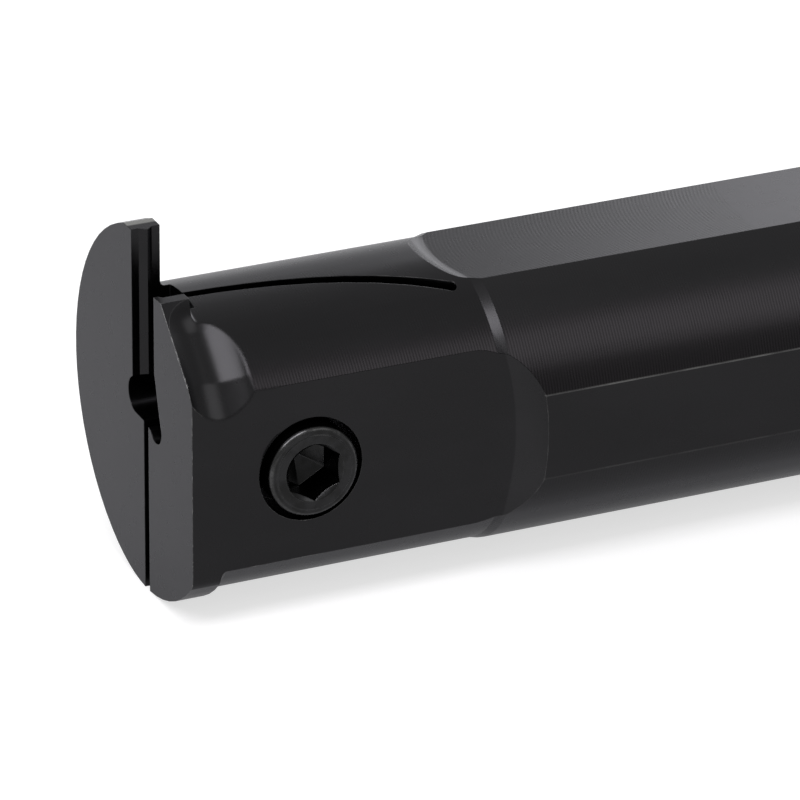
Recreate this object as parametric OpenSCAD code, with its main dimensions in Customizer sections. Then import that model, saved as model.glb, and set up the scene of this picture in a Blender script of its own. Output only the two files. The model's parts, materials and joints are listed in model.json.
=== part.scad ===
// Internal grooving tool holder: a boring bar with an elastic clamping jaw and its clamp screw.
// X runs from the cutting head to the rear end, the clamp screw faces -Y, the insert seat opens at +Z.
// The origin is the centre of the rear end face. Head features are placed from the front face.

/* [Shank] */
// Length over all, front face to rear end
overall_len = 250; // [120:1:400]
// Diameter of the round shank
shank_d = 32; // [31.8:0.1:36]
// Axis to the top flat and to the bottom flat
flat_z = 14.65; // [14:0.05:15]
// Axis to the side flat on the screw side
flat_y = 15.3; // [14.6:0.05:15.6]
// Chamfer round the rear end
rear_chamfer = 1; // [0.3:0.1:1.2]

/* [Neck] */
// Diameter of the turned neck
neck_d = 31.5; // [31.2:0.1:31.8]
// Front face to the start of the shoulder
neck_len = 33.3; // [32:0.1:40]
// Length of the tapered shoulder between neck and shank
shoulder_len = 1.1; // [0.5:0.1:3]
// Axis to the deep flat that carries the screw
neck_flat_y = 12.4; // [11.8:0.1:13]
// Front face to the furthest point of the deep flat
neck_flat_len = 32.7; // [31:0.1:44]
// Radius of the arc in which the deep flat ends
flat_mill_r = 24.8; // [20:0.2:40]
// Corner radius that the mill leaves between the deep flat and the shank
flat_corner_r = 6.3; // [4:0.1:8]
// Front face to the foremost point of the top flat and of the bottom flat
top_flat_x = 32.4; // [31.6:0.1:45]
// Radius of the arc in which the top and bottom flats begin
top_mill_r = 16; // [12:1:30]
// Corner radius that the mill leaves in front of the top and bottom flats
top_corner_r = 3.2; // [1.5:0.1:6]

/* [Front plate] */
// Thickness of the plate that carries the insert seat
plate_t = 3.1; // [2.6:0.1:4]
// Radius of the plate's large outline
plate_r = 20.05; // [19.8:0.05:22]
// Shift of the large outline towards the screw side
plate_shift_y = 1.6; // [1:0.1:1.8]
// Shift of the large outline upwards
plate_shift_z = 3.25; // [3:0.05:3.4]
// Radius of the plate round the bottom and the jaw
plate_low_r = 16.4; // [16.35:0.05:16.4]
// Height of the flat tip of the blade above the axis
blade_top = 22.2; // [21:0.1:22.6]
// Fillet between the back of the plate and the neck
plate_fillet = 0.6; // [0.3:0.05:0.65]
// Rounding of the plate's lower corner on the screw side
plate_corner_r = 2.4; // [1.5:0.1:2.4]

/* [Insert seat] */
// Axis to the fixed wall of the seat, away from the screw
seat_far = 3.05; // [2.7:0.05:3.4]
// Axis to the jaw's wall of the seat
seat_near = 2.7; // [2.4:0.05:3]
// Front face to the back of the seat, where it enters the neck
seat_depth = 4.25; // [3.9:0.05:5]
// Extra width of the seat on its fixed wall behind the plate
seat_relief = 0.15; // [0.05:0.05:0.3]
// Depth of the groove in the jaw's wall behind its front lip
jaw_groove = 0.45; // [0.2:0.05:0.6]
// Length of the front lip on the jaw's wall
jaw_lip = 0.35; // [0.2:0.05:0.6]
// Front face to the start of the rib on the fixed wall
rib_start = 0.82; // [0.6:0.02:1]
// Length of the rib's front flank
rib_front = 0.75; // [0.6:0.05:0.9]
// Length of the rib's rear flank
rib_rear = 0.65; // [0.5:0.05:0.8]
// Height of the rib above the fixed wall
rib_h = 0.55; // [0.3:0.05:0.7]

/* [Relief hole] */
// Axis to the centre of the relief hole's round end, away from the screw
relief_y = 2.25; // [2.1:0.05:2.5]
// Height of the relief hole's round end above the axis
relief_z = 4.3; // [4:0.1:4.6]
// Radius of the relief hole's round end
relief_r = 1.95; // [1.8:0.05:2]
// Axis to the centre of the pocket under the jaw, on the screw side
heel_y = 3.0; // [2.9:0.05:3.2]
// Height of the pocket under the jaw above the axis
heel_z = 2.65; // [2.5:0.05:2.9]
// Radius of the pocket under the jaw
heel_r = 1.5; // [1.3:0.05:1.6]
// Height at which the jaw's wall starts to lean back
lean_top = 8.8; // [8:0.1:10]

/* [Slit] */
// Width of the wire-cut slit
slit_w = 1.2; // [0.6:0.05:1.4]
// Axis to the middle of the slit at the front, towards the screw
slit_y = 0.45; // [0.3:0.05:1]
// Front face to the start of the slit's curve
slit_straight = 3; // [1:0.5:6]
// Radius of the slit's curve
slit_r = 69; // [60:1:80]
// Front face to the end of the slit
slit_len = 31.6; // [28:0.1:32]

/* [Chip pocket] */
// Height of the jaw's flat top above the axis
land_z = 17.15; // [16.8:0.05:17.5]
// Width of the jaw's flat top
land_w = 1.75; // [1.2:0.05:2.2]
// Slope of the jaw's shoulder below the flat top
slope_angle = 43; // [40:1:46]
// Radius of the milled scoop
scoop_r = 5; // [4.5:0.1:5.5]
// Front face to the middle of the scoop
scoop_x = 3.3; // [3:0.1:3.6]
// Depth of the scoop below the jaw's shoulder
scoop_depth = 1.15; // [0.9:0.05:1.3]
// Distance of the scoop's round start from the jaw's flat top, along the slope
scoop_start = 3.2; // [2.8:0.1:3.6]
// Distance from the flat top to the bend where the scoop gets steeper
scoop_bend = 9.4; // [8.5:0.1:10]
// Slope of the scoop past the bend
scoop_steep = 54; // [50:1:58]

/* [Clamp screw] */
// Front face to the screw's axis
screw_x = 12.9; // [11:0.1:15]
// Thread diameter
screw_d = 6; // [5:0.5:6]
// Length under the head
screw_len = 16; // [14:0.5:18]
// Head diameter
head_d = 9.8; // [9:0.1:10.4]
// Head height
head_h = 6; // [5:0.1:6.4]
// Rounding of the head's rim
head_round = 0.5; // [0.2:0.05:0.8]
// How far the head stands out of the deep flat
head_proud = 1; // [0:0.1:1.5]
// Width across the flats of the hexagon socket
socket_af = 5.45; // [4.5:0.05:5.6]
// Depth of the hexagon socket
socket_depth = 3; // [2:0.1:3.4]
// Depth of the conical mouth of the socket
socket_mouth = 0.6; // [0.4:0.05:0.8]
// Diameter of the counterbore in the deep flat
counterbore_d = 11.3; // [11:0.1:12.5]
// Radial clearance of the screw in its tapped hole
thread_clear = 0.05; // [0.02:0.01:0.1]
// Radial clearance of the screw in the jaw's through hole
through_clear = 0.3; // [0.2:0.05:0.5]
// Gap between the head and the floor of the counterbore
seat_gap = 0.02; // [0.01:0.01:0.05]
// Free length of the tapped hole past the screw's tip
tap_run = 2.2; // [1:0.1:2.6]

/* [Hidden] */
$fn = 96;

steel = [0.17, 0.17, 0.18];
screw_black = [0.10, 0.10, 0.11];

// Size that is large against any feature, length by which a cut runs past a face, and a small overlap
far = 60;
over = 1;
eps = 0.01;
// Extra radius with which a rounding crosses its neighbours, where it would only touch them
blend = 0.02;

neck_r = neck_d / 2;
shank_r = shank_d / 2;
shank_start = neck_len + shoulder_len;

// Screw side is -Y, so a distance towards the screw becomes a negative Y
seat_floor_y = -(neck_flat_y + head_proud - head_h);
tip_y = seat_floor_y + screw_len;
land_edge_y = -(seat_near + land_w);
slope_len = (neck_flat_y + over + land_edge_y) / cos(slope_angle);
tap_end = tip_y + tap_run;
drill_point = 118;

// Direction from the large outline's centre to the bar's axis, where both outlines meet
merge_len = norm([plate_shift_y, plate_shift_z]);
merge_dir = [plate_shift_y, -plate_shift_z] / merge_len;

// Turns a plan drawn in X and Y into a body that is cut through in Z
module through_z(z0, z1) {
    translate([0, 0, z0]) linear_extrude(height = z1 - z0) children();
}

// Turns an outline drawn in Y and Z into a plate that runs along X
module along_x(x0, x1) {
    translate([x0, 0, 0]) rotate([90, 0, 90]) linear_extrude(height = x1 - x0) children();
}

// Turns a profile drawn in X and radius into a body of revolution about the bar's axis
module turned() {
    rotate([90, 0, 90]) rotate_extrude() children();
}

module bar_blank() {
    turned() polygon([
        [0, 0], [neck_r, 0], [neck_r, neck_len], [shank_r, shank_start],
        [shank_r, overall_len - rear_chamfer], [shank_r - rear_chamfer, overall_len], [0, overall_len]
    ]);
}

// Large outline away from the screw, small outline round the bottom, and the jaw's raised top
module plate_outline() {
    circle(plate_low_r);
    intersection() {
        translate([-plate_shift_y, plate_shift_z]) circle(plate_r);
        union() {
            polygon([[0, 0], merge_dir * far, [far, -far], [far, blade_top], [0, blade_top]]);
            polygon([[0, 0], [0, land_z], slope_point(0), slope_point(slope_len), [-neck_r, 0]]);
        }
    }
}

// Point on the jaw's shoulder at a distance down the slope from the flat top
function slope_point(s) =
    [land_edge_y - s * cos(slope_angle), land_z - s * sin(slope_angle)];

module plate_back_fillet() {
    intersection() {
        turned() difference() {
            translate([neck_r - over, plate_t - eps]) square([over + plate_fillet, plate_fillet + eps]);
            translate([neck_r + plate_fillet, plate_t + plate_fillet]) circle(plate_fillet);
        }
        along_x(0, 2 * plate_t) plate_outline();
    }
}

// Path of a face mill with rounded corners, which stands on its floor
module round_mill(floor_r, corner_r) {
    rotate_extrude() {
        square([floor_r, far]);
        translate([0, corner_r]) square([floor_r + corner_r, far - corner_r]);
        translate([floor_r, corner_r]) circle(corner_r);
    }
}

// Face-milled flat on the screw side, ended by the curved wall that the mill leaves
module deep_flat_cut() {
    translate([neck_flat_len - flat_mill_r, -neck_flat_y, 0]) rotate([90, 0, 0])
        round_mill(flat_mill_r, flat_corner_r);
}

module side_flat_cut() {
    translate([neck_len, -flat_y - far, -far / 2]) cube([overall_len, far, far]);
}

// Flat on the shank, milled from its curved front end to the rear
module top_flat_cut() {
    translate([top_flat_x + top_mill_r, 0, flat_z]) {
        round_mill(top_mill_r, top_corner_r);
        translate([0, -far / 2, 0]) cube([overall_len, far, far]);
    }
}

// Rounds the plate's corner between the deep flat and the round outline
module plate_corner_cut() {
    centre_r = plate_low_r - plate_corner_r;
    centre_y = neck_flat_y - plate_corner_r;
    centre = [-centre_y, -sqrt(pow(centre_r, 2) - pow(centre_y, 2))];
    along_x(-over, plate_t + plate_fillet) difference() {
        polygon([centre, centre + [-far, 0], centre * far / centre_r]);
        translate(centre) circle(plate_corner_r + blend);
    }
}

// Plan of the insert seat: fixed wall with its rib, jaw wall with its lip and groove
module seat_plan() {
    polygon([
        [-over, -seat_near], [jaw_lip, -seat_near], [jaw_lip + jaw_groove, -seat_near - jaw_groove],
        [seat_depth, -seat_near - jaw_groove], [seat_depth, seat_far + seat_relief],
        [plate_t + plate_fillet / 2, seat_far + seat_relief], [plate_t + plate_fillet / 2, seat_far],
        [rib_start + rib_front + rib_rear, seat_far], [rib_start + rib_front, seat_far - rib_h],
        [rib_start, seat_far], [-over, seat_far]
    ]);
}

module insert_seat_cut() {
    through_z(relief_z, blade_top + over) seat_plan();
}

// Relief hole under the seat: round end, flat bottom and the pocket that lets the jaw close
module relief_hole_cut() {
    along_x(-over, seat_depth) {
        translate([relief_y, relief_z]) circle(relief_r);
        translate([-heel_y, heel_z]) circle(heel_r);
        polygon([
            [relief_y, relief_z - relief_r], [-slit_y + slit_w / 2, relief_z - relief_r],
            [-heel_y + heel_r / 2, heel_z - heel_r / 2], [-heel_y - heel_r + eps, heel_z],
            [-seat_near, lean_top], [relief_y, lean_top]
        ]);
    }
}

// Slit cut through the full height: straight at the front, then curving towards the screw side
module slit_cut() {
    sweep = asin((slit_len - slit_w / 2 - slit_straight) / slit_r);
    translate([-over, -slit_y - slit_w / 2, -far / 2]) cube([over + slit_straight, slit_w, far]);
    translate([slit_straight, -slit_y - slit_r, -far / 2]) {
        intersection() {
            difference() {
                cylinder(h = far, r = slit_r + slit_w / 2);
                translate([0, 0, -over]) cylinder(h = far + 2 * over, r = slit_r - slit_w / 2);
            }
            linear_extrude(height = far)
                polygon([[0, 0], [0, 2 * slit_r], 2 * slit_r * [sin(sweep), cos(sweep)]]);
        }
        rotate([0, 0, -sweep]) translate([0, slit_r, 0]) cylinder(h = far, r = slit_w / 2 + blend);
    }
}

// Path of the round-nosed mill down the jaw's side, from a point in Y and Z
module scoop_run(start, angle, len) {
    translate([scoop_x, start[0], start[1]]) rotate([90 + angle, 0, 0]) rotate_extrude() {
        square([scoop_r, len]);
        intersection() {
            circle(scoop_r);
            translate([0, -scoop_r]) square(scoop_r);
        }
    }
}

// Sloping shoulder of the jaw and the scoop that a round-nosed mill leaves behind it
module chip_pocket_cut() {
    lift = scoop_r - scoop_depth;
    normal = [-sin(slope_angle), cos(slope_angle)];
    top = slope_point(0);
    start = slope_point(scoop_start) + lift * normal;
    bend = slope_point(scoop_bend) + lift * normal;
    steep_dir = [-cos(scoop_steep), -sin(scoop_steep)];
    steep_start = bend - scoop_r * 2 * steep_dir;
    translate([-over, top[0], top[1]]) rotate([slope_angle, 0, 0])
        translate([0, -far, 0]) cube([over + plate_t + plate_fillet, far, far]);
    scoop_run(start, slope_angle, far / 2);
    scoop_run(steep_start, scoop_steep, far / 2);
}

module screw_hole_cut() {
    translate([screw_x, 0, 0]) rotate([90, 0, 0]) {
        translate([0, 0, -seat_floor_y]) cylinder(h = far / 2, d = counterbore_d);
        translate([0, 0, slit_y - slit_w / 2]) cylinder(h = far / 2, r = screw_d / 2 + through_clear);
        translate([0, 0, -tap_end]) cylinder(h = far / 2, r = screw_d / 2 + thread_clear);
        drill_r = screw_d / 2 + thread_clear;
        drill_h = drill_r / tan(drill_point / 2);
        translate([0, 0, -tap_end - drill_h]) cylinder(h = drill_h + eps, r1 = 0, r2 = drill_r);
    }
}

module holder_body() {
    color(steel) translate([-overall_len, 0, 0]) difference() {
        union() {
            bar_blank();
            along_x(0, plate_t) plate_outline();
            plate_back_fillet();
        }
        deep_flat_cut();
        side_flat_cut();
        top_flat_cut();
        mirror([0, 0, 1]) top_flat_cut();
        plate_corner_cut();
        insert_seat_cut();
        relief_hole_cut();
        slit_cut();
        chip_pocket_cut();
        screw_hole_cut();
    }
}

// Head profile in radius and height above the underside, with a rounded rim
module head_profile() {
    r = head_d / 2;
    square([r, head_h - head_round]);
    square([r - head_round, head_h]);
    translate([r - head_round, head_h - head_round]) circle(head_round);
}

// Hexagon socket with a conical mouth that takes its corners away
module socket_cut() {
    corner_r = socket_af / 2 / cos(30);
    translate([0, 0, head_h - socket_depth]) rotate(90) cylinder(h = head_h, r = corner_r, $fn = 6);
    translate([0, 0, head_h - socket_mouth])
        cylinder(h = corner_r, r1 = socket_af / 2, r2 = socket_af / 2 + corner_r);
}

module clamp_screw() {
    tip_chamfer = screw_d / 8;
    color(screw_black) translate([screw_x - overall_len, seat_floor_y - seat_gap, 0]) rotate([90, 0, 0]) {
        difference() {
            rotate_extrude() head_profile();
            socket_cut();
        }
        rotate_extrude() polygon([
            [0, -screw_len], [screw_d / 2 - tip_chamfer, -screw_len],
            [screw_d / 2, -screw_len + tip_chamfer], [screw_d / 2, eps], [0, eps]
        ]);
    }
}

holder_body();
clamp_screw();
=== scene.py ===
"""Grooving tool holder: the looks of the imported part.

The scene is in metres, in the part's own frame: X runs from the cutting head (-0.25) to the rear end (0),
-Y is the side of the clamp screw and the insert seat opens at +Z. The named sizes below and the positions
in the materials are in millimetres.
"""

import json
import math

import bmesh
import bpy
from mathutils import Matrix, Vector

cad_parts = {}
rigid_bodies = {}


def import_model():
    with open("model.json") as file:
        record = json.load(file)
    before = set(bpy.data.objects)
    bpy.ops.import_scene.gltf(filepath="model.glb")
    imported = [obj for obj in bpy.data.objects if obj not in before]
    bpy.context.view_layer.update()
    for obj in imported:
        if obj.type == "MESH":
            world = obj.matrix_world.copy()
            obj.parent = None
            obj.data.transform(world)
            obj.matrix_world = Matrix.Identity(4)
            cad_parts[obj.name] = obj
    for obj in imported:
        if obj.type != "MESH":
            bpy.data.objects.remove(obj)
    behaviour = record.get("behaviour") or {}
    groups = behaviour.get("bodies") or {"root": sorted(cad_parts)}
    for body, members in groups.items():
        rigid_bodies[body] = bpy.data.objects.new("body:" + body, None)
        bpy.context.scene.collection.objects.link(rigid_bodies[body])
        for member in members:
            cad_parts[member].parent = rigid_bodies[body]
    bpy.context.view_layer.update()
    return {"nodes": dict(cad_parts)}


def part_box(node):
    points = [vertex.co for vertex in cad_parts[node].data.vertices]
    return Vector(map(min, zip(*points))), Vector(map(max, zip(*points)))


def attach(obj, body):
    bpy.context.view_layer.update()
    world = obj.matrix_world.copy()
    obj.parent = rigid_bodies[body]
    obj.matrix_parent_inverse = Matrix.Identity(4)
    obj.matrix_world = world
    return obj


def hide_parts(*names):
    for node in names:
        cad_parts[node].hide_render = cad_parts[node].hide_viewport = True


for leftover in list(bpy.data.objects):
    bpy.data.objects.remove(leftover)

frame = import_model()

FLOOR_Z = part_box("holder_body")[0][2]

# The holder body, where its material needs to know
HEAD_X = -250.0           # front face
NECK_R = 15.75
SHANK_R = 16.0
TOP_FLAT_Z = 14.65
SIDE_FLAT_Y = -15.3
SIDE_FLAT_EDGE_Z = math.sqrt(SHANK_R ** 2 - SIDE_FLAT_Y ** 2)
TIP_Z = 22.2              # top of the blade beside the seat
# Start of the painted highlight on the deep flat's round end
ROUND_END_HIGHLIGHT_X = HEAD_X + 35.4
ROUND_END_X = HEAD_X + 38.6
SMOOTH_CUT_X = HEAD_X + 65.9
RING_FEED = 0.32          # pitch of the turned rings
RING_WOBBLE = 0.12        # how far a ring strays along X
ARC_FEED = 0.42           # pitch of the milled arcs
EDGE_BREAK = 0.1
POCKET_BEND = 0.5         # radius that softens the bends in the chip pocket
MARK_DEPTH = 0.0012       # of the rings and arcs

# Oxide from dark to light, then where the cut is smoother, and a painted tint for the strip where the rings
# catch the light
OXIDE_DARK = (0.0245, 0.0242, 0.0252, 1.0)
OXIDE_LIGHT = (0.0268, 0.0264, 0.0276, 1.0)
OXIDE_SMOOTH = (0.0285, 0.0278, 0.0297, 1.0)
RING_STRIP_PAINTED_TINT = (0.0252, 0.0230, 0.0250, 1.0)

# The clamp screw: its axis, the plane under its head, and heights from there towards -Y
SCREW_X = -237.1
SCREW_SEAT_Y = -7.42
HEAD_R = 4.9
HEAD_H = 6.0
HEAD_ROUND = 0.55
HEAD_CHAMFER = 0.25       # at the head's underside
FACE_R = 4.05             # edge of the raised face inside the rounded rim
FACE_STEP = 0.07
SOCKET_FLATS = 5.45
SOCKET_MOUTH = 0.42
MOUTH_R = SOCKET_FLATS / 2 + SOCKET_MOUTH
SOCKET_FLOOR = 2.0
SOCKET_PIT = 1.4          # depth of the pyramid below the socket's floor
UNDERCUT = 0.15           # neck between the head and the thread
THREAD_R = 3.0
THREAD_ROOT = 2.45
THREAD_PITCH = 1.0
THREAD_TOP = -1.2
THREAD_END = -15.4
SCREW_TIP = -16.0
SCREW_EDGE_BREAK = 0.08
SCREW_GRAIN = 0.0014      # depth of the screw's grain
SHARP_ANGLE = math.radians(24)
SIDES = 96                # facets round the screw, a multiple of the hexagon's six


class Nodes:
    """Builds the node tree of a material or a world with short calls."""

    def __init__(self, owner, output):
        owner.use_nodes = True
        self.owner = owner
        self.tree = owner.node_tree
        self.tree.nodes.clear()
        self.output = self.node(output)

    def node(self, kind, inputs=(), **settings):
        node = self.tree.nodes.new("ShaderNode" + kind)
        for key, value in settings.items():
            setattr(node, key, value)
        for key, value in dict(inputs).items():
            self.plug(node.inputs[key], value)
        return node

    def plug(self, socket, value):
        if isinstance(value, bpy.types.NodeSocket):
            self.tree.links.new(value, socket)
        else:
            socket.default_value = value

    def close(self, shader):
        """Ends the tree with a shader and returns the material or world."""
        self.plug(self.output.inputs["Surface"], shader.outputs[0])
        return self.owner

    def math(self, operation, *values):
        return self.node("Math", enumerate(values), operation=operation).outputs[0]

    def fold(self, operation, values):
        result, *others = values
        for value in others:
            result = self.math(operation, result, value)
        return result

    def add(self, *values):
        return self.fold("ADD", values)

    def times(self, *values):
        return self.fold("MULTIPLY", values)

    def minus(self, a, b):
        return self.math("SUBTRACT", a, b)

    def outside(self, mask):
        return self.minus(1.0, mask)

    def distance(self, a, b):
        return self.math("SQRT", self.add(self.times(a, a), self.times(b, b)))

    def wave(self, value, pitch):
        return self.math("SINE", self.times(value, 2 * math.pi / pitch))

    def step(self, value, low, high):
        """0 at low, 1 at high and a smooth step between them; low may be the larger."""
        node = self.node("MapRange", {"Value": value, "From Min": low, "From Max": high},
                         interpolation_type="SMOOTHSTEP")
        return node.outputs["Result"]

    def colour(self, factor, a, b):
        return self.node("Mix", {0: factor, 6: a, 7: b}, data_type="RGBA").outputs[2]

    def blend(self, factor, a, b):
        return self.node("Mix", {0: factor, 2: a, 3: b}, data_type="FLOAT").outputs[0]

    def scaled(self, colour, factor):
        return self.node("VectorMath", {0: colour, "Scale": factor}, operation="SCALE").outputs[0]

    def stretched(self, vector, stretch):
        return self.node("VectorMath", {0: vector, 1: stretch}, operation="MULTIPLY").outputs[0]

    def split(self, vector):
        return self.node("SeparateXYZ", {0: vector}).outputs

    def noise(self, vector, stretch, detail=3.0, roughness=0.55):
        """Noise over the vector stretched along each axis: the more, the finer."""
        inputs = {"Vector": self.stretched(vector, stretch), "Scale": 1.0, "Detail": detail,
                  "Roughness": roughness}
        return self.node("TexNoise", inputs).outputs[0]

    def place(self):
        """Position in mm as a vector and as x, y and z, and the surface's normal in the same axes."""
        coord = self.node("TexCoord")
        position = self.stretched(coord.outputs["Object"], (1000, 1000, 1000))
        return position, self.split(position), self.split(coord.outputs["Normal"])

    def edges(self, radius):
        """The normal with edges rounded by a radius in metres, and a mask of them: 0 on open surfaces."""
        bevel = self.node("Bevel", {"Radius": radius}, samples=6)
        plain = self.node("NewGeometry").outputs["Normal"]
        cosine = self.node("VectorMath", {0: bevel.outputs[0], 1: plain}, operation="DOT_PRODUCT")
        return bevel.outputs[0], self.step(cosine.outputs["Value"], 0.998, 0.955)

    def bump(self, height, depth, normal):
        """Normal of a surface with marks of a height, of which one unit is as deep as given in metres."""
        inputs = {"Height": height, "Strength": 1.0, "Distance": depth, "Normal": normal}
        return self.node("Bump", inputs).outputs[0]


def metal(nodes, base, roughness, normal):
    inputs = {"Base Color": base, "Metallic": 1.0, "Roughness": roughness,
              "Specular Tint": (0.86, 0.86, 0.88, 1.0), "Normal": normal}
    return nodes.close(nodes.node("BsdfPrincipled", inputs))


def grey(value, blue=1.0):
    return (value, value, value * blue, 1.0)


def holder_material():
    """Black oxide on machined steel: rings on turned faces, arcs on milled flats, rubbed edges, painted
    highlights and shade.
    """
    n = Nodes(bpy.data.materials.new("holder_black_oxide"), "OutputMaterial")
    vector, (x, y, z), (nx, ny, nz) = n.place()

    # Masks of the turned faces and of the top flat
    radius = n.distance(y, z)
    outward = n.math("DIVIDE", n.add(n.times(ny, y), n.times(nz, z)), radius)
    turned = n.times(n.step(radius, NECK_R - 0.2, NECK_R - 0.05), n.step(outward, 0.975, 0.99))
    shank = n.times(turned, n.step(radius, SHANK_R - 0.2, SHANK_R - 0.05))
    top_flat = n.times(n.step(nz, 0.97, 0.995), n.step(z, TOP_FLAT_Z - 0.25, TOP_FLAT_Z - 0.05),
                       n.step(z, TOP_FLAT_Z + 0.25, TOP_FLAT_Z + 0.05))

    # Turned rings, a fine feed with an uneven depth; in a strip along the near side they are cut deeper and
    # carry a painted highlight
    ring_x = n.add(x, n.times(n.noise(vector, (0.1, 0.5, 0.5), 2.0), RING_WOBBLE))
    ring_depth = n.blend(n.noise(vector, (0.8, 0.25, 0.25), 2.0), 0.7, 1.3)
    rings = n.times(n.wave(ring_x, RING_FEED), turned, ring_depth)
    highlight_strip = n.times(n.step(z, 12.4, 10.6), n.step(z, -3.0, 3.0))

    # Arcs that a face mill leaves across the top flat, as far as the arc in which a smoother cut begins
    def mill_arc(centre_y, mill_radius):
        off = n.minus(y, centre_y)
        return n.minus(x, n.times(off, off, 1 / (2 * mill_radius)))
    smoother = n.times(top_flat, n.step(mill_arc(-5.5, 50.0), SMOOTH_CUT_X - 0.1, SMOOTH_CUT_X + 0.1))
    patchy = n.blend(n.step(n.noise(vector, (0.3, 0.4, 0.4), 2.0), 0.34, 0.66), 0.4, 1.0)
    arcs = n.times(n.wave(mill_arc(-1.5, 17.0), ARC_FEED), top_flat, n.outside(smoother), patchy)

    # Edges: fainter in the seat and round the chip pocket, and soft bends without wear inside the pocket
    pocket = n.times(n.step(x, HEAD_X + 0.3, HEAD_X + 0.6), n.step(x, HEAD_X + 10.0, HEAD_X + 9.0),
                     n.step(z, 1.0, 3.0))
    in_pocket = n.times(pocket, n.step(x, HEAD_X + 0.8, HEAD_X + 1.4), n.step(z, 15.6, 15.0),
                        n.step(y, -4.5, -5.5))
    rounded, edge = n.edges(n.blend(in_pocket, EDGE_BREAK / 1000, POCKET_BEND / 1000))
    near_side = n.step(y, -2.0, -4.0)
    edge = n.times(edge, n.blend(near_side, 0.3, 1.0), n.blend(pocket, 1.0, 0.2), n.outside(in_pocket))

    height = n.add(n.times(rings, n.blend(highlight_strip, 1.0, 2.4)), n.times(arcs, 1.2),
                   n.times(n.noise(vector, (6.0, 6.0, 6.0)), 0.05))
    normal = n.bump(height, MARK_DEPTH / 1000, rounded)

    # The deep flat: painted shade along its upper edge, and a painted highlight on part of its round end
    upper_edge = n.times(n.step(x, HEAD_X + 8.5, HEAD_X + 10.0), n.step(x, ROUND_END_X, ROUND_END_X - 0.4),
                         n.step(z, 4.6, 5.4), n.step(y, -5.0, -8.0))
    round_end = n.times(n.step(nx, -0.05, -0.15), n.step(y, -5.0, -8.0),
                        n.step(x, ROUND_END_X, ROUND_END_X - 0.1))
    into_round_end_highlight = n.minus(n.add(x, n.times(z, z, 1 / 60)), ROUND_END_HIGHLIGHT_X)

    # Wear: bare metal in patches on the edges, most on the head, and a painted highlight as a thin line
    # along the side flat's edges
    rubbed = n.step(n.noise(vector, (0.3, 0.7, 0.7), 5.0, 0.75), 0.46, 0.64)
    wear_and_highlight = n.times(edge, n.blend(rubbed, 0.25, 1.0), near_side, n.outside(upper_edge),
                   n.blend(n.step(x, HEAD_X + 20, HEAD_X + 12), 0.15, 0.5))
    off_line = n.math("ABSOLUTE", n.minus(n.math("ABSOLUTE", z), SIDE_FLAT_EDGE_Z))
    uneven = n.step(n.noise(vector, (0.15, 0.0, 0.0), 4.0), 0.35, 0.65)
    flat_edge_highlight = n.times(n.step(off_line, 0.13, 0.05), n.step(y, SIDE_FLAT_Y + 0.2, SIDE_FLAT_Y + 0.1),
                        n.blend(n.step(z, -1.0, 1.0), 0.2, 1.0), n.blend(uneven, 0.06, 0.30))
    wear_and_highlight = n.math("MAXIMUM", wear_and_highlight, flat_edge_highlight)

    oxide = n.colour(n.step(n.noise(vector, (0.05, 0.12, 0.12)), 0.3, 0.7), OXIDE_DARK, OXIDE_LIGHT)
    oxide = n.colour(smoother, oxide, OXIDE_SMOOTH)
    # Painted tint of the highlight strip on the turned faces
    oxide = n.colour(n.times(turned, highlight_strip, 0.7), oxide, RING_STRIP_PAINTED_TINT)

    # Traces and painted light lighten or darken the oxide by a share: rings, more in their painted highlight
    # strip, arcs, a painted highlight on the upper shank and on part of the deep flat's round end, painted
    # shade along its upper edge, and the top of the tip, whose far part is ground bare
    tip_top = n.times(n.step(z, TIP_Z - 0.3, TIP_Z - 0.1), n.step(nz, 0.9, 0.95))
    traces_and_painted_light = n.add(n.times(rings, n.blend(highlight_strip, 0.05, 0.22)),
                  n.times(arcs, 0.09),
                  n.times(shank, n.step(z, 10.5, 12.5), 0.22),
                  n.times(round_end, n.step(into_round_end_highlight, -0.1, 0.1), 0.3),
                  n.times(upper_edge, n.step(edge, 0.02, 0.25), -0.6),
                  n.times(tip_top, -0.5))
    oxide = n.scaled(oxide, n.add(1.0, traces_and_painted_light))
    # Painted highlight along the edges: the oxide goes lighter grey there, but not on the deep flat's upper
    # edge
    oxide = n.colour(n.times(edge, n.outside(upper_edge), 0.25), oxide, grey(0.07, 1.02))

    base = n.colour(wear_and_highlight, oxide, grey(0.42, 0.98))
    base = n.colour(n.times(tip_top, n.step(y, 3.9, 4.3)), base, grey(0.26, 0.96))
    roughness = n.blend(n.noise(vector, (0.6, 0.6, 0.6)), 0.255, 0.285)
    return metal(n, base, n.blend(wear_and_highlight, roughness, 0.3), normal)


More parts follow.
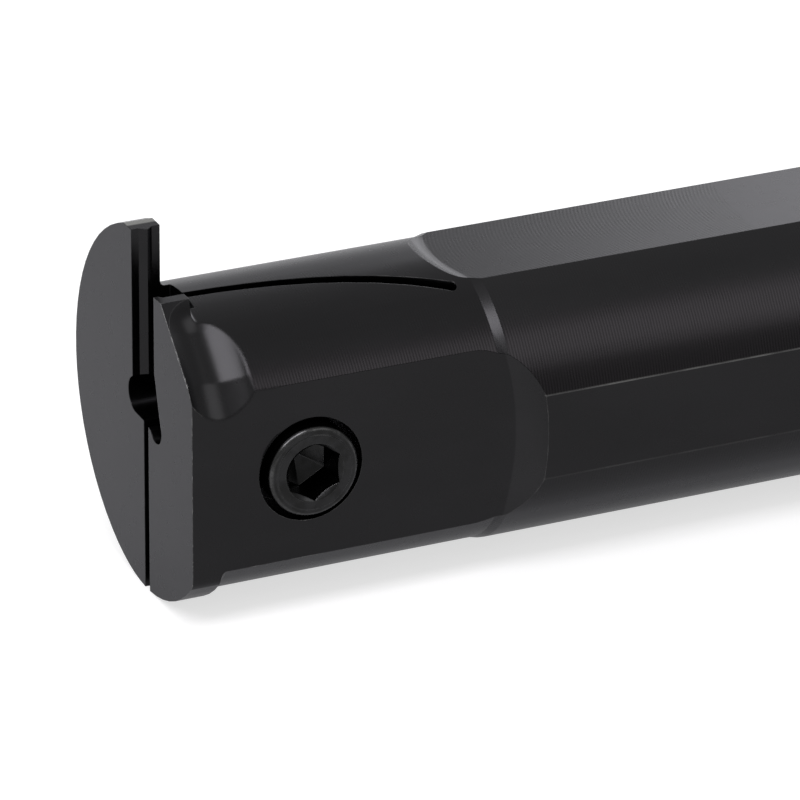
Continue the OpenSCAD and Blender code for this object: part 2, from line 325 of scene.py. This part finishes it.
def screw_material():
    """Glossier black oxide of a rolled and hardened screw, rubbed at the socket, with a patchy painted
    highlight round its rim.
    """
    n = Nodes(bpy.data.materials.new("screw_black_oxide"), "OutputMaterial")
    vector, (x, _, z), _ = n.place()
    radius = n.distance(n.minus(x, SCREW_X), z)
    rounded, edge = n.edges(SCREW_EDGE_BREAK / 1000)
    normal = n.bump(n.noise(vector, (5.0, 5.0, 5.0)), SCREW_GRAIN / 1000, rounded)
    # A faint patchy painted highlight round the rim; on the edges rubbed patches of bare metal
    rim = n.times(n.step(radius, HEAD_R - 0.5, HEAD_R - 0.3), n.step(radius, HEAD_R - 0.02, HEAD_R - 0.12))
    outside_mouth = n.blend(n.step(radius, MOUTH_R - 0.025, MOUTH_R - 0.105), 0.2, 1.0)
    rubbed = n.step(n.noise(vector, (1.2, 1.2, 1.2), 3.0, 0.7), 0.48, 0.62)
    wear_and_highlight = n.math("MAXIMUM", n.times(edge, outside_mouth, n.blend(rubbed, 0.3, 0.8)),
                  n.times(rim, n.blend(rubbed, 0.07, 0.14)))
    cloudy = n.step(n.noise(vector, (0.5, 0.5, 0.5), 2.0), 0.35, 0.65)
    base = n.colour(wear_and_highlight, n.colour(cloudy, grey(0.022), grey(0.032, 1.03)), grey(0.34))
    roughness = n.blend(n.noise(vector, (2.2, 2.2, 2.2)), 0.20, 0.32)
    return metal(n, base, roughness, normal)


def dress(node, material):
    obj = frame["nodes"][node]
    obj.data.materials.clear()
    obj.data.materials.append(material)


def hexagon_radius(angle):
    """Distance from the axis to the socket's wall; its corners are at 30 degrees and every 60 from there."""
    from_normal = (angle + math.pi / 6) % (math.pi / 3) - math.pi / 6
    return SOCKET_FLATS / 2 / math.cos(from_normal)


def pit_bottom(angle):
    return 0.15, SOCKET_FLOOR - SOCKET_PIT


def pit_edge(angle):
    return hexagon_radius(angle) - 0.1, SOCKET_FLOOR - 0.03


def socket_floor(angle):
    return hexagon_radius(angle), SOCKET_FLOOR


def socket_edge(angle):
    """Radius and height at which the socket's wall meets its conical mouth."""
    radius = hexagon_radius(angle)
    return radius, HEAD_H - SOCKET_MOUTH + radius - SOCKET_FLATS / 2


def screw_point(angle, radius, height):
    x, y, z = SCREW_X + radius * math.cos(angle), SCREW_SEAT_Y - height, radius * math.sin(angle)
    return Vector((x, y, z)) / 1000


def screw_rings():
    """Rings from the pointed bottom of the socket over the head to the thread.

    Each is a function of the angle that gives a radius and a height.
    """
    shoulder = HEAD_H - FACE_STEP
    turns = (math.radians(15 * k) for k in range(7))
    round_rim = [(HEAD_R - HEAD_ROUND * (1 - math.sin(t)), shoulder - HEAD_ROUND * (1 - math.cos(t)))
                 for t in turns]
    lathe = [(MOUTH_R - 0.05, HEAD_H - 0.05), (MOUTH_R + 0.04, HEAD_H), (FACE_R, HEAD_H),
             (FACE_R + 0.1, shoulder), *round_rim,
             (HEAD_R, HEAD_CHAMFER), (HEAD_R - HEAD_CHAMFER, 0.0),
             (THREAD_R, 0.0), (THREAD_R - UNDERCUT, -0.2), (THREAD_R - UNDERCUT, THREAD_TOP + 0.4),
             (THREAD_ROOT, THREAD_TOP)]
    rings = [pit_bottom, pit_edge, socket_floor, socket_edge]
    return rings + [lambda angle, point=point: point for point in lathe]


def add_thread(mesh):
    """Helical thread as a sheared grid: one turn on, a row meets the row a pitch below it."""
    steps = ((0.0, THREAD_R), (0.14, THREAD_R), (0.5, THREAD_ROOT), (0.64, THREAD_ROOT))
    turns = int((THREAD_TOP - THREAD_END) / THREAD_PITCH) + 3
    rows = []
    for j in range(len(steps) * turns):
        drop, reach = steps[j % len(steps)]
        row = []
        for i in range(SIDES):
            height = THREAD_TOP + THREAD_PITCH * (1 - j // len(steps) - drop - i / SIDES)
            inside = THREAD_END < height < THREAD_TOP
            height = min(max(height, THREAD_END), THREAD_TOP)
            angle = 2 * math.pi * i / SIDES
            row.append(mesh.verts.new(screw_point(angle, reach if inside else THREAD_ROOT, height)))
        rows.append(row)
    for j in range(len(rows) - len(steps) - 1):
        for i in range(SIDES):
            shift = len(steps) if i == SIDES - 1 else 0
            k = (i + 1) % SIDES
            mesh.faces.new((rows[j][i], rows[j + shift][k], rows[j + shift + 1][k], rows[j + 1][i]))


def add_rings(mesh, rings):
    """Joins rings into an open skin and returns the vertices of each ring."""
    loops = []
    for ring in rings:
        angles = (2 * math.pi * i / SIDES for i in range(SIDES))
        loops.append([mesh.verts.new(screw_point(angle, *ring(angle))) for angle in angles])
    for a, b in zip(loops, loops[1:]):
        for i in range(SIDES):
            k = (i + 1) % SIDES
            mesh.faces.new((a[i], a[k], b[k], b[i]))
    return loops


def add_screw(material):
    """Cap screw with a rounded rim, a hexagon socket with a conical mouth, and a rolled thread."""
    mesh = bmesh.new()
    mesh.faces.new(add_rings(mesh, screw_rings())[0])
    add_thread(mesh)
    tip = [lambda angle: (THREAD_ROOT, THREAD_END), lambda angle: (THREAD_ROOT - 0.3, SCREW_TIP)]
    mesh.faces.new(add_rings(mesh, tip)[-1])
    bmesh.ops.remove_doubles(mesh, verts=mesh.verts, dist=1e-7)
    bmesh.ops.recalc_face_normals(mesh, faces=mesh.faces)
    for face in mesh.faces:
        face.smooth = True
    for edge in mesh.edges:
        edge.smooth = edge.calc_face_angle() < SHARP_ANGLE
    data = bpy.data.meshes.new("cap_screw")
    mesh.to_mesh(data)
    mesh.free()
    data.materials.append(material)
    screw = bpy.data.objects.new("cap_screw", data)
    bpy.context.scene.collection.objects.link(screw)
    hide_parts("clamp_screw")
    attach(screw, "screw")


# Stage: pale floor, white surroundings and soft lamps

WHITE = (1.0, 1.0, 1.0, 1.0)
FLOOR_HALF = 3.0          # metres
FLOOR_PAINT = (0.45, 0.45, 0.45, 1.0)
FLOOR_GLOW = 0.66         # to the camera, where the lamps' light on the paint makes up the rest of white
FLOOR_MIRRORED = 0.35     # to what mirrors the floor
ROOM_NEAR, ROOM_FAR = 0.44, 0.8


def stage_material():
    """White to the camera and pale in reflections, with the object's shadow kept on it."""
    n = Nodes(bpy.data.materials.new("pale_floor"), "OutputMaterial")
    ray = n.node("LightPath").outputs
    mirrored = n.math("MAXIMUM", ray["Is Glossy Ray"], ray["Is Transmission Ray"])
    strength = n.add(n.times(ray["Is Camera Ray"], FLOOR_GLOW), n.times(mirrored, FLOOR_MIRRORED))
    paint = n.node("BsdfDiffuse", {"Color": FLOOR_PAINT})
    glow = n.node("Emission", {"Color": WHITE, "Strength": strength})
    return n.close(n.node("AddShader", {0: paint.outputs[0], 1: glow.outputs[0]}))


def add_floor():
    corners = [(-FLOOR_HALF, -FLOOR_HALF, 0), (FLOOR_HALF, -FLOOR_HALF, 0),
               (FLOOR_HALF, FLOOR_HALF, 0), (-FLOOR_HALF, FLOOR_HALF, 0)]
    mesh = bpy.data.meshes.new("floor")
    mesh.from_pydata(corners, [], [(0, 1, 2, 3)])
    floor = bpy.data.objects.new("floor", mesh)
    floor.location.z = FLOOR_Z
    mesh.materials.append(stage_material())
    bpy.context.scene.collection.objects.link(floor)


def add_world():
    """White to the camera; to the object, a room that is brighter on the far side."""
    n = Nodes(bpy.data.worlds.new("studio"), "OutputWorld")
    direction = n.split(n.node("TexCoord").outputs["Generated"])
    room = n.node("MapRange", {"Value": direction["Y"], "From Min": -1.0, "From Max": 1.0,
                               "To Min": ROOM_NEAR, "To Max": ROOM_FAR})
    strength = n.blend(n.node("LightPath").outputs["Is Camera Ray"], room.outputs["Result"], 1.0)
    bpy.context.scene.world = n.close(n.node("Background", {"Color": WHITE, "Strength": strength}))


def add_lamp(name, location, target, size, radiance, colour=(1.0, 1.0, 1.0)):
    """Soft box of a given size in metres; a radiance of 1 is as bright as a white wall."""
    data = bpy.data.lights.new(name, "AREA")
    data.shape = "RECTANGLE"
    data.size, data.size_y = size
    data.energy = radiance * math.pi * size[0] * size[1]
    data.color = colour
    lamp = bpy.data.objects.new(name, data)
    lamp.location = location
    lamp.rotation_euler = (Vector(target) - Vector(location)).to_track_quat("-Z", "Y").to_euler()
    bpy.context.scene.collection.objects.link(lamp)


def add_camera():
    """Camera at the photograph's angle: 24.85 degrees to the left, 25 degrees down, rolled half a degree."""
    azimuth, elevation, roll = (math.radians(a) for a in (-24.8478, 25.0020, 0.5321))
    location = (-0.467192, -0.530390, 0.271980)
    level = math.cos(elevation)
    back = Vector((math.sin(azimuth) * level, -math.cos(azimuth) * level, math.sin(elevation)))
    side = Vector((math.cos(azimuth), math.sin(azimuth), 0.0))
    up = back.cross(side)
    right = math.cos(roll) * side + math.sin(roll) * up
    top = math.cos(roll) * up - math.sin(roll) * side
    data = bpy.data.cameras.new("camera")
    data.sensor_width = 36.0
    data.lens = 282.02
    camera = bpy.data.objects.new("camera", data)
    camera.matrix_world = Matrix.Translation(location) @ Matrix((right, top, back)).transposed().to_4x4()
    bpy.context.scene.collection.objects.link(camera)
    bpy.context.scene.camera = camera


dress("holder_body", holder_material())
add_screw(screw_material())
add_floor()
add_world()
add_lamp("key", (-0.66, -0.36, 0.80), (-0.66, -0.36, 0.0), (0.96, 0.34), 6.5, (0.98, 0.965, 1.0))
add_lamp("front", (0.33, -0.64, 0.68), (-0.20, 0.0, 0.0), (0.60, 0.45), 1.5)
add_lamp("rim", (0.56, 0.74, 0.42), (-0.20, 0.0, 0.0), (0.70, 0.50), 1.9)
add_camera()
bpy.context.scene.view_settings.view_transform = "Standard"
